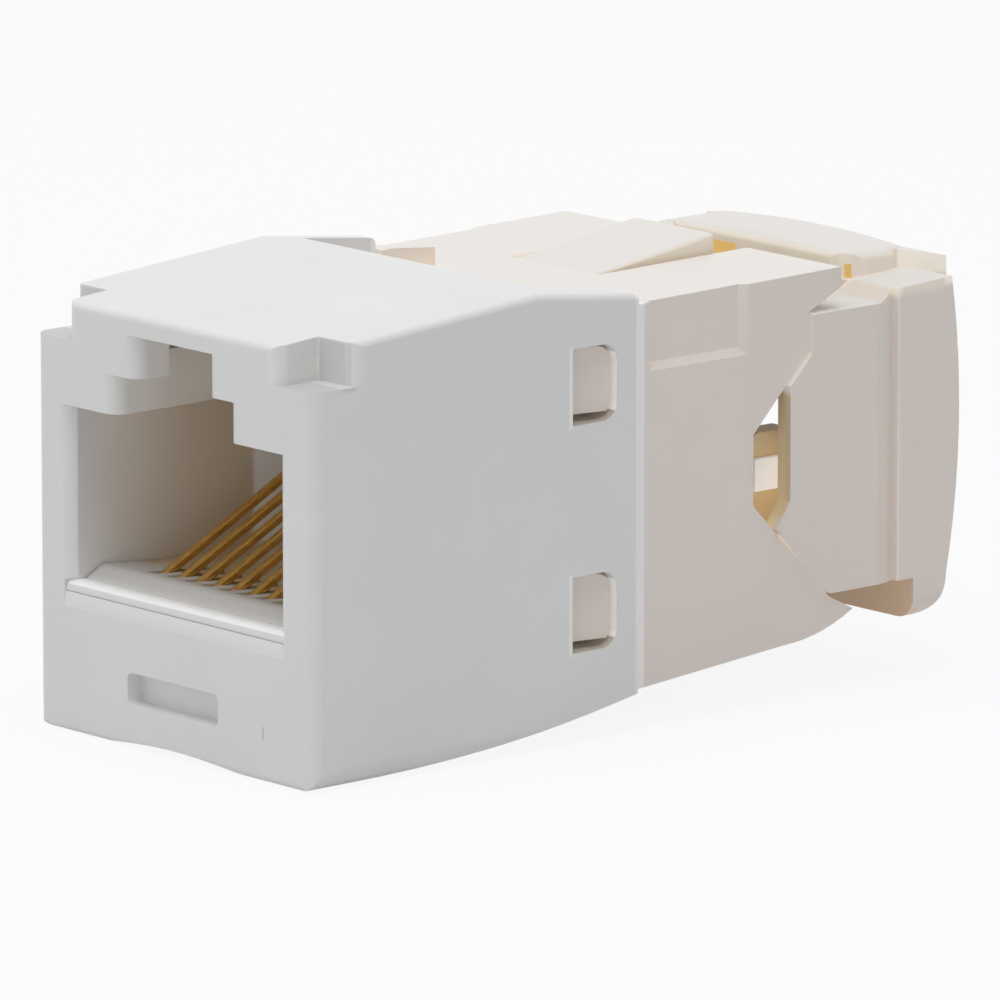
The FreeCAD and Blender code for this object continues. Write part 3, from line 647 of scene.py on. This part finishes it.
    def cloudy(self, tone):
        """A tone that drifts a little over the piece."""
        return self.between(self.spread(self.noise(DRIFT_SIZE, DRIFT_DETAIL)), tone, DRIFT_GAINS)

    def moulded_skin(self, body, roughness, grip=GRAIN_GRIP):
        """Colour, satin gloss, fine spark-eroded grain and slight sink waves of a moulded piece."""
        self.into("Base Color", body)
        grain = self.noise(GRAIN_SIZE)
        self.into("Roughness", self.remap(grain, *GRAIN_RANGE, *roughness))
        waves = self.bump(self.noise(SINK_SIZE), SINK_DEPTH, SINK_GRIP)
        self.into("Normal", self.bump(grain, GRAIN_DEPTH, grip, waves))
        self.set(IOR=PLASTIC_IOR)


def tinted(colour, gain):
    """A colour made lighter or darker."""
    return [min(1.0, c * gain) for c in colour]


def white_plastic(props):
    """White front plastic with painted light and shade: darker and browner with depth in the port, darker
    on the notches' upward faces, in the niches and at the windows' feet, paler along its rims and sill,
    and glowing at the port's back and roof and on the windows' walls.
    """
    finish = Finish("white plastic")
    tone = props.white_tone
    x, y, z, off = finish.x, finish.y, finish.z, finish.off_middle()
    body = finish.cloudy(tone)

    # Painted shade in the port: darker and browner with depth, lighter again at its back, where a painted
    # glow is added.
    inside = finish.both(finish.before(off, PORT_SIDE), finish.within(z, PORT_HEIGHT))
    low = finish.before(z, PORT_LEDGE)
    back = finish.both(inside, low, finish.after(y, PORT_BACK))
    body = finish.blend(finish.both(inside, finish.after(y, PORT_SHADE)), body, props.port_shade)
    body = finish.blend(finish.both(inside, low, finish.after(y, PORT_BROWN)), body, props.port_deep_shade)
    body = finish.blend(back, body, props.port_shade)
    finish.light(back, BACK_LIGHT)
    # Painted glow on the port's roof, strongest near its front.
    roof = finish.both(
        finish.before(off, ROOF_SIDE),
        finish.within(z, ROOF_HEIGHT),
        finish.after(y, ROOF_START),
        finish.before(y, ROOF_END, ROOF_REST),
    )
    finish.light(roof, ROOF_LIGHT)

    # Painted shade: faces that look up at the notches' height are drawn darker.
    notch_shade = finish.both(finish.upward(), finish.within(z, NOTCH_SHADE_HEIGHT))
    body = finish.blend(notch_shade, body, tinted(tone, NOTCH_SHADE_GAIN))
    # Painted shade at the back of the notches.
    niche = finish.both(
        finish.after(off, NICHE_SIDE),
        finish.within(y, NICHE_DEPTH),
        finish.within(z, NICHE_HEIGHT),
    )
    body = finish.blend(niche, body, tinted(tone, NICHE_GAIN))
    # Painted highlight: the sill below the carrier's nose is drawn paler.
    sill = finish.both(
        finish.before(y, SILL_FACE),
        finish.within(z, SILL_HEIGHT),
        finish.before(off, SILL_SIDE),
    )
    body = finish.blend(sill, body, tinted(tone, SILL_GAIN))

    # Painted highlights on the windows' front rims and the housing's rear rim; painted glow on the
    # windows' back walls; painted shade, with a faint painted glow, on the windows' floors.
    heights = finish.within_any(z, WINDOW_HEIGHTS)
    rim = finish.both(heights, finish.within(y, WINDOW_RIM), finish.after(off, WINDOW_FACE))
    body = finish.blend(rim, body, tinted(tone, EDGE_GAIN))
    body = finish.blend(finish.after(y, REAR_RIM), body, tinted(tone, REAR_RIM_GAIN))
    depth = finish.within(off, WINDOW_DEPTH)
    wall = finish.both(heights, depth, finish.within(y, WINDOW_WALL))
    finish.light(wall, tinted(tone, WINDOW_WALL_GLOW))
    foot = finish.both(finish.within_any(z, WINDOW_FEET), depth, finish.within(y, WINDOW_FLOOR))
    body = finish.blend(foot, body, tinted(props.port_deep_shade, WINDOW_FOOT_GAIN))
    finish.light(foot, tinted(props.port_deep_shade, WINDOW_FOOT_GLOW))

    # Painted highlight along the front face's left edge.
    left_edge = finish.both(finish.before(x, LEFT_EDGE), finish.before(y, LEFT_FACE))
    body = finish.blend(left_edge, body, tinted(tone, EDGE_GAIN))
    gate = finish.both(
        finish.within(x, GATE_ACROSS),
        finish.within(z, GATE_HEIGHT),
        finish.before(y, GATE_FACE),
    )
    body = finish.blend(gate, body, tinted(tone, GATE_GAIN))
    finish.moulded_skin(body, HOUSING_ROUGHNESS)
    return finish.material


def ivory_plastic(name, props, thin):
    """Ivory plastic with painted light and shade: lighter on its upper faces, darker and warmer in its
    corners, amber with a painted glow in its gaps, and glowing on thin parts.
    """
    finish = Finish(name)
    x, y, z, off = finish.x, finish.y, finish.z, finish.off_middle()
    upward = finish.upward()
    flank = finish.rest(upward, False)
    free = finish.shelter(SHELTER_REACH)
    hidden = finish.rest(free, False)
    outer = finish.after(off, OUTER_FACE)

    # Painted sheen: faces that look up are drawn lighter and cooler than the flanks.
    top = tinted(props.ivory_top_sheen, THIN_TOP_GAIN if thin else THICK_TOP_GAIN)
    body = finish.blend(upward, finish.cloudy(props.ivory_tone), top)
    # A slightly darker painted sheen on the cap's crown.
    crown = finish.both(upward, finish.after(y, CROWN_START))
    body = finish.blend(crown, body, tinted(props.ivory_top_sheen, CROWN_GAIN))
    # Painted shade in the corners, by how sheltered each spot is.
    body = finish.blend(hidden, body, props.ivory_shade)
    # Painted highlight on the base's rim by the front housing.
    rim = finish.both(outer, finish.within(y, BASE_RIM))
    body = finish.blend(rim, body, BASE_RIM_TONE)
    # Painted shade on the shoulders' upward faces, deeper on their ramps.
    shoulder = finish.both(
        upward,
        finish.after(off, SHOULDER_SIDE),
        finish.after(y, SHOULDER_START),
        finish.before(z, SHOULDER_TOP),
    )
    body = finish.blend(shoulder, body, tinted(props.ivory_top_sheen, SHOULDER_GAIN))
    ramp = finish.both(shoulder, finish.within(y, SHOULDER_RAMP))
    body = finish.blend(ramp, body, tinted(props.ivory_shade, RAMP_GAIN))
    # Painted shade on the band by the cap's groove, and a painted glow in the groove.
    band = finish.both(outer, finish.within(y, BAND_LENGTH), finish.within(z, BAND_HEIGHT))
    body = finish.blend(band, body, BAND_TONE)
    groove = finish.both(outer, finish.within(y, GROOVE))
    finish.light(groove, GROOVE_LIGHT)

    # Painted amber shade and glow in the gaps at the sides and in the slot; the knob is drawn with the
    # painted top sheen and a painted glow.
    side_gap = finish.both(
        finish.near(SIDE_GAP_MIDDLE, SIDE_GAP_REACH),
        finish.before(off, SIDE_GAP_FACE),
    )
    slot = finish.both(
        finish.within(y, SLOT_LENGTH),
        finish.within(z, SLOT_HEIGHT),
        finish.before(off, SLOT_SIDE),
    )
    knob = finish.both(
        finish.within(off, KNOB_SIDE),
        finish.within(z, KNOB_HEIGHT),
        finish.within(y, KNOB_LENGTH),
    )
    gap = finish.either(
        finish.both(side_gap, finish.remap(free, *SIDE_GAP_SHELTER, 1.0, 0.0), finish.rest(knob)),
        finish.both(slot, finish.remap(free, *SLOT_SHELTER, 1.0, 0.0)),
    )
    body = finish.blend(gap, body, props.painted_amber)
    body = finish.blend(knob, body, props.ivory_top_sheen)
    finish.light(gap, tinted(props.painted_amber, props.amber_glow))
    finish.light(finish.both(knob, finish.remap(free, *KNOB_SHELTER, 1.0, 0.0)), KNOB_LIGHT)
    # Painted amber shade on the arms' front faces.
    arm_face = finish.both(
        finish.within(y, ARM_FACE_LENGTH),
        finish.within(z, ARM_FACE_HEIGHT),
        finish.within(off, ARM_FACE_DEPTH),
    )
    body = finish.blend(arm_face, body, ARM_FACE_TONE)
    # Painted amber shade at the tongue's root, with a painted glow on its left part.
    root = finish.both(
        finish.within(y, ROOT_LENGTH),
        finish.within(z, ROOT_HEIGHT),
        finish.within_any(x, (ROOT_LEFT, ROOT_RIGHT)),
    )
    body = finish.blend(root, body, ROOT_TONE)
    finish.light(finish.both(root, finish.before(x, ROOT_LIT_SIDE)), ROOT_LIGHT)
    # Painted warm shade and glow under the cap's foot.
    foot = finish.both(
        finish.within(y, FOOT_LENGTH),
        finish.before(z, FOOT_HEIGHT),
        finish.before(off, FOOT_SIDE),
    )
    body = finish.blend(foot, body, FOOT_TONE)
    finish.light(foot, tinted(props.painted_amber, FOOT_GLOW))

    # Painted glow in the sheltered corner, in the slit, along the seams, on the lip, and on thin parts or
    # the cap's rear flanks.
    corner = finish.near(CORNER_MIDDLE, CORNER_REACH)
    finish.light(finish.both(corner, hidden), CORNER_LIGHT)
    slit = finish.both(finish.within(x, SLIT_ACROSS), finish.within(y, SLIT_LENGTH), flank)
    finish.light(slit, SLIT_LIGHT)
    seam = finish.both(
        outer,
        hidden,
        finish.within(y, SEAM_LENGTH),
        finish.either(finish.before(z, SEAM_BELOW), finish.after(z, SEAM_ABOVE)),
    )
    finish.light(seam, SEAM_LIGHT)
    lip = finish.both(finish.after(y, LIP_LENGTH), finish.after(z, LIP_HEIGHT), flank)
    finish.light(lip, LIP_LIGHT)
    if thin:
        finish.light(flank, tinted(props.soak_glow_tone, props.soak_glow))
    else:
        rear = finish.both(finish.within(y, REAR_LENGTH), finish.after(z, REAR_HEIGHT), flank)
        rear_front = finish.both(rear, finish.before(y, REAR_FRONT))
        finish.light(rear, tinted(props.soak_glow_tone, REAR_SOAK * props.soak_glow))
        finish.light(rear_front, tinted(props.soak_glow_tone, REAR_FRONT_SOAK * props.soak_glow))
    finish.moulded_skin(body, HOUSING_ROUGHNESS)
    return finish.material


def carrier_plastic(props):
    """Smooth insert, white along its nose with a painted highlight on its rim, darker behind it as painted
    shade, and with a painted reflection of the gold wires further back.
    """
    finish = Finish("carrier plastic")
    y, z = finish.y, finish.z
    body = finish.blend(finish.after(y, NOSE_END), props.white_tone, finish.cloudy(props.carrier_tone))
    # Painted reflection: the floor among the wires' feet and behind them takes the wires' gold.
    body = finish.blend(finish.after(y, REFLECTED_GOLD_START), body, REFLECTED_GOLD_TONE)
    # Painted highlight and glow along the nose's rim.
    rim = finish.both(finish.within(z, NOSE_RIM_HEIGHT), finish.before(y, NOSE_RIM_FACE))
    body = finish.blend(rim, body, tinted(props.white_tone, NOSE_RIM_GAIN))
    finish.light(rim, tinted(props.white_tone, NOSE_RIM_GLOW))
    finish.moulded_skin(body, CARRIER_ROUGHNESS, CARRIER_GRIP)
    return finish.material


def plated_metal(name, tone, look):
    """Plated metal with fine streaks along its length and dull patches."""
    finish = Finish(name)
    streak = finish.noise(look["streak"], stretch=look["stretch"])
    finish.into("Base Color", finish.between(finish.spread(streak), tone, look["gains"]))
    finish.into("Roughness", finish.spread(finish.noise(look["patch"]), *look["roughness"]))
    finish.into("Normal", finish.bump(streak, look["depth"], METAL_GRIP))
    finish.set(Metallic=1.0)
    return finish.material


def solder_mask(name, tone):
    """Green board: the weave of the glass cloth shows through a glossy mask."""
    finish = Finish(name)
    weave = finish.tree.nodes.new("ShaderNodeTexChecker")
    weave.inputs["Scale"].default_value = 1.0 / (WEAVE_SIZE * MM)
    finish.join(finish.place, weave.inputs["Vector"])
    cloud = finish.spread(finish.noise(MASK_CLOUD))
    finish.into("Base Color", finish.between(cloud, tone, MASK_GAINS))
    finish.into("Roughness", finish.remap(cloud, 0.0, 1.0, *MASK_ROUGHNESS))
    finish.into("Normal", finish.bump(weave.outputs["Fac"], WEAVE_DEPTH, WEAVE_GRIP))
    return finish.material


def dress(node, material):
    """Gives a CAD node its finish, on the object's own slots."""
    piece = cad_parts[node]
    if not piece.material_slots:
        raise RuntimeError("no material slot on " + node)
    for slot in piece.material_slots:
        slot.link = "OBJECT"
        slot.material = material


def soften(node, width, segments=EDGE_SEGMENTS):
    """Joins the CAD mesh's loose faces for display and rounds its sharp edges."""
    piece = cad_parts[node]
    weld = piece.modifiers.new("join faces", "WELD")
    weld.merge_threshold = WELD_REACH * MM
    flat = piece.modifiers.new("flat faces", "DECIMATE")
    flat.decimate_type = "DISSOLVE"
    flat.angle_limit = FLAT_WITHIN
    bevel = piece.modifiers.new("round edges", "BEVEL")
    bevel.width = width
    bevel.segments = segments
    bevel.limit_method = "ANGLE"
    bevel.angle_limit = SHARPER_THAN
    bevel.use_clamp_overlap = True
    even = piece.modifiers.new("even shading", "WEIGHTED_NORMAL")
    even.mode = "FACE_AREA"
    even.weight = SHADING_WEIGHT


class JACK_OT_front_housing(bpy.types.Operator):
    """Dresses the white front housing with the plug port"""

    bl_idname = "jack.front_housing"
    bl_label = "Front housing"

    def execute(self, context):
        finish = context.scene.jack_finish
        dress("front_housing", white_plastic(finish))
        soften("front_housing", finish.housing_edge)
        return {"FINISHED"}


class JACK_OT_rear_base(bpy.types.Operator):
    """Dresses the ivory base, its release tongue and the termination cap"""

    bl_idname = "jack.rear_base"
    bl_label = "Base, tongue and cap"

    def execute(self, context):
        finish = context.scene.jack_finish
        thick = ivory_plastic("ivory plastic", finish, False)
        thin = ivory_plastic("thin ivory plastic", finish, True)
        plastics = {"rear_housing": thick, "release_latch": thin, "termination_cap": thick}
        for node, plastic in plastics.items():
            dress(node, plastic)
            soften(node, finish.ivory_edge)
        return {"FINISHED"}


class JACK_OT_carrier(bpy.types.Operator):
    """Dresses the insert that forms the port's floor and guides the wires"""

    bl_idname = "jack.carrier"
    bl_label = "Contact carrier"

    def execute(self, context):
        finish = context.scene.jack_finish
        dress("contact_carrier", carrier_plastic(finish))
        soften("contact_carrier", finish.carrier_edge)
        return {"FINISHED"}


class JACK_OT_wires(bpy.types.Operator):
    """Dresses the sprung wires and their legs"""

    bl_idname = "jack.wires"
    bl_label = "Contact wires"

    def execute(self, context):
        finish = context.scene.jack_finish
        gold = plated_metal("gold plating", finish.gold_tone, GOLD_LOOK)
        for number in WIRE_NUMBERS:
            for node in ("contact_spring_%d" % number, "contact_leg_%d" % number):
                dress(node, gold)
                soften(node, finish.wire_edge)
        return {"FINISHED"}


class JACK_OT_board(bpy.types.Operator):
    """Dresses the circuit board and the forked terminals"""

    bl_idname = "jack.board"
    bl_label = "Board and terminals"

    def execute(self, context):
        finish = context.scene.jack_finish
        dress("circuit_board", solder_mask("solder mask", finish.mask_tone))
        soften("circuit_board", finish.sheet_edge, SHEET_SEGMENTS)
        tin = plated_metal("tin plating", finish.tin_tone, TIN_LOOK)
        for number in WIRE_NUMBERS:
            node = "idc_%d" % number
            dress(node, tin)
            soften(node, finish.sheet_edge, SHEET_SEGMENTS)
        return {"FINISHED"}


def seen_as_white(tree, share):
    """Share of plain white that the camera and the gloss see; all other light sees none."""
    path = tree.nodes.new("ShaderNodeLightPath")
    seen = path.outputs["Is Camera Ray"]
    for ray in ("Is Glossy Ray", "Is Transmission Ray"):
        larger = tree.nodes.new("ShaderNodeMath")
        larger.operation = "MAXIMUM"
        tree.links.new(seen, larger.inputs[0])
        tree.links.new(path.outputs[ray], larger.inputs[1])
        seen = larger.outputs[0]
    amount = tree.nodes.new("ShaderNodeMath")
    amount.operation = "MULTIPLY"
    amount.inputs[1].default_value = share
    tree.links.new(seen, amount.inputs[0])
    return amount.outputs[0]


def lamp(name, place, aim, size, power):
    """Square soft lamp that looks at a point."""
    light = bpy.data.lights.new(name, "AREA")
    light.size = size
    light.energy = power
    holder = bpy.data.objects.new(name, light)
    holder.location = place
    holder.rotation_euler = (Vector(aim) - Vector(place)).to_track_quat("-Z", "Y").to_euler()
    bpy.context.scene.collection.objects.link(holder)


class JACK_OT_stage(bpy.types.Operator):
    """Builds the pale floor, the soft lamps and the camera"""

    bl_idname = "jack.stage"
    bl_label = "Studio"

    def execute(self, context):
        scene = context.scene
        studio = scene.jack_studio
        self.make_floor(scene, studio)
        self.make_sky(scene, studio)
        aim = Vector(studio.aim)
        lamp("overhead lamp", aim + Vector(OVERHEAD_PLACE), aim, OVERHEAD_SIZE, studio.overhead)
        lamp("front lamp", aim + Vector(FRONT_PLACE), aim, FRONT_SIZE, studio.front_fill)
        self.make_camera(scene, studio, aim)
        scene.view_settings.view_transform = "Standard"
        return {"FINISHED"}

    def make_floor(self, scene, studio):
        """Wide floor under the lowest point, nearly white to the camera, with the jack's shadow."""
        mesh = bpy.data.meshes.new("floor")
        half = FLOOR_HALF
        corners = [(-half, -half), (half, -half), (half, half), (-half, half)]
        mesh.from_pydata([(x, y, cad_low.z) for x, y in corners], [], [(0, 1, 2, 3)])
        floor = bpy.data.objects.new("floor", mesh)
        scene.collection.objects.link(floor)
        paint = bpy.data.materials.new("floor paint")
        paint.use_nodes = True
        tree = paint.node_tree
        tree.nodes.clear()
        matt = tree.nodes.new("ShaderNodeBsdfDiffuse")
        matt.inputs["Color"].default_value = (*studio.floor_tone, 1.0)
        glow = tree.nodes.new("ShaderNodeEmission")
        mixer = tree.nodes.new("ShaderNodeMixShader")
        output = tree.nodes.new("ShaderNodeOutputMaterial")
        tree.links.new(seen_as_white(tree, studio.floor_glow), mixer.inputs[0])
        tree.links.new(matt.outputs[0], mixer.inputs[1])
        tree.links.new(glow.outputs[0], mixer.inputs[2])
        tree.links.new(mixer.outputs[0], output.inputs["Surface"])
        mesh.materials.append(paint)

    def make_sky(self, scene, studio):
        """Even light all round, which the camera sees as white."""
        sky = bpy.data.worlds.new("studio")
        sky.use_nodes = True
        tree = sky.node_tree
        tree.nodes.clear()
        even = tree.nodes.new("ShaderNodeBackground")
        even.inputs["Strength"].default_value = studio.sky
        white = tree.nodes.new("ShaderNodeBackground")
        for background in (even, white):
            background.inputs["Color"].default_value = (1.0, 1.0, 1.0, 1.0)
        mixer = tree.nodes.new("ShaderNodeMixShader")
        output = tree.nodes.new("ShaderNodeOutputWorld")
        tree.links.new(seen_as_white(tree, 1.0), mixer.inputs[0])
        tree.links.new(even.outputs[0], mixer.inputs[1])
        tree.links.new(white.outputs[0], mixer.inputs[2])
        tree.links.new(mixer.outputs[0], output.inputs["Surface"])
        scene.world = sky

    def make_camera(self, scene, studio, aim):
        """Long lens at the photograph's angle; camera and aim slide together to frame the jack."""
        turn, lift = studio.azimuth, studio.elevation
        back = Vector((
            math.sin(turn) * math.cos(lift),
            -math.cos(turn) * math.cos(lift),
            math.sin(lift),
        ))
        right = Vector((math.cos(turn), math.sin(turn), 0.0))
        up = back.cross(right)
        eye = bpy.data.cameras.new("camera")
        eye.sensor_width = SENSOR_WIDTH
        eye.lens = studio.focal
        camera = bpy.data.objects.new("camera", eye)
        slide = right * studio.slide_right + up * studio.slide_up
        camera.location = aim + slide + back * studio.distance
        camera.rotation_euler = (-back).to_track_quat("-Z", "Y").to_euler()
        scene.collection.objects.link(camera)
        scene.camera = camera


class JACK_PT_sidebar(bpy.types.Panel):
    """Sizes, colours and steps of the jack"""

    bl_idname = "JACK_PT_sidebar"
    bl_label = "Jack"
    bl_space_type = "VIEW_3D"
    bl_region_type = "UI"
    bl_category = "Jack"

    def draw(self, context):
        for step in STEPS:
            self.layout.operator(step.bl_idname)
        for group in (context.scene.jack_finish, context.scene.jack_studio):
            column = self.layout.column()
            for name in group.__annotations__:
                column.prop(group, name)


STEPS = (
    JACK_OT_front_housing,
    JACK_OT_rear_base,
    JACK_OT_carrier,
    JACK_OT_wires,
    JACK_OT_board,
    JACK_OT_stage,
)
CLASSES = (JackFinish, JackStudio, *STEPS, JACK_PT_sidebar)


def register():
    for cls in CLASSES:
        bpy.utils.register_class(cls)
    bpy.types.Scene.jack_finish = PointerProperty(type=JackFinish)
    bpy.types.Scene.jack_studio = PointerProperty(type=JackStudio)


def unregister():
    del bpy.types.Scene.jack_studio
    del bpy.types.Scene.jack_finish
    for cls in reversed(CLASSES):
        bpy.utils.unregister_class(cls)


def main():
    """Dresses the pieces in order and builds the studio."""
    register()
    bpy.ops.jack.front_housing()
    bpy.ops.jack.rear_base()
    bpy.ops.jack.carrier()
    bpy.ops.jack.wires()
    bpy.ops.jack.board()
    bpy.ops.jack.stage()


if __name__ == "__main__":
    main()
